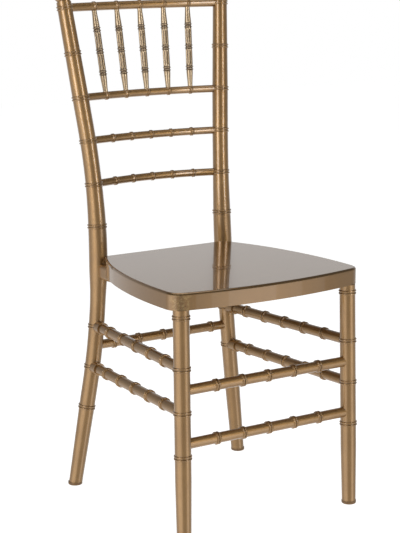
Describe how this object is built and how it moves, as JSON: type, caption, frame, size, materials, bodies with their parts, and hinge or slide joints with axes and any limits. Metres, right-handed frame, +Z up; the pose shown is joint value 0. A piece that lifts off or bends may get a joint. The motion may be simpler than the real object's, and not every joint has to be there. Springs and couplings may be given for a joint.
{
  "type": "chiavari chair",
  "caption": "Armless stacking banquet chair with ringed bamboo-style legs, rungs and rails, a spindled back and a flat hard seat, in gold lacquer.",
  "frame": {"origin": "on the floor, in the middle under the chair", "axes": "+Z up, -Y towards the front of the chair, +X to the right of someone who faces that front"},
  "size_m": [0.4136, 0.471, 0.9475],
  "materials": {
    "frame_lacquer": "metallic gold lacquer on moulded resin",
    "seat_lacquer": "metallic gold lacquer on moulded resin, polished",
    "glide_lacquer": "gold-coloured plastic, satin",
    "bolt_steel": "zinc-plated",
    "screw_steel": "zinc-plated",
    "insert_brass": "as turned"
  },
  "bodies": {
    "root": {"rear_post_left": "frame_lacquer", "rear_post_right": "frame_lacquer", "post_cap_left": "frame_lacquer", "post_cap_right": "frame_lacquer", "front_leg_left": "frame_lacquer", "front_leg_right": "frame_lacquer", "crest_rail": "frame_lacquer", "spindle_rail": "frame_lacquer", "upper_back_rail": "frame_lacquer", "lower_back_rail": "frame_lacquer", "spindle_1": "frame_lacquer", "spindle_2": "frame_lacquer", "spindle_3": "frame_lacquer", "spindle_4": "frame_lacquer", "spindle_5": "frame_lacquer", "side_rung_upper_left": "frame_lacquer", "side_rung_upper_right": "frame_lacquer", "side_rung_lower_left": "frame_lacquer", "side_rung_lower_right": "frame_lacquer", "front_rung_upper": "frame_lacquer", "front_rung_lower": "frame_lacquer", "back_rung": "frame_lacquer", "seat_shell": "seat_lacquer", "glide_front_left": "glide_lacquer", "glide_front_right": "glide_lacquer", "glide_rear_left": "glide_lacquer", "glide_rear_right": "glide_lacquer", "seat_bolts": "bolt_steel", "leg_screws": "screw_steel", "bolt_inserts": "insert_brass"}
  },
  "joints": []
}
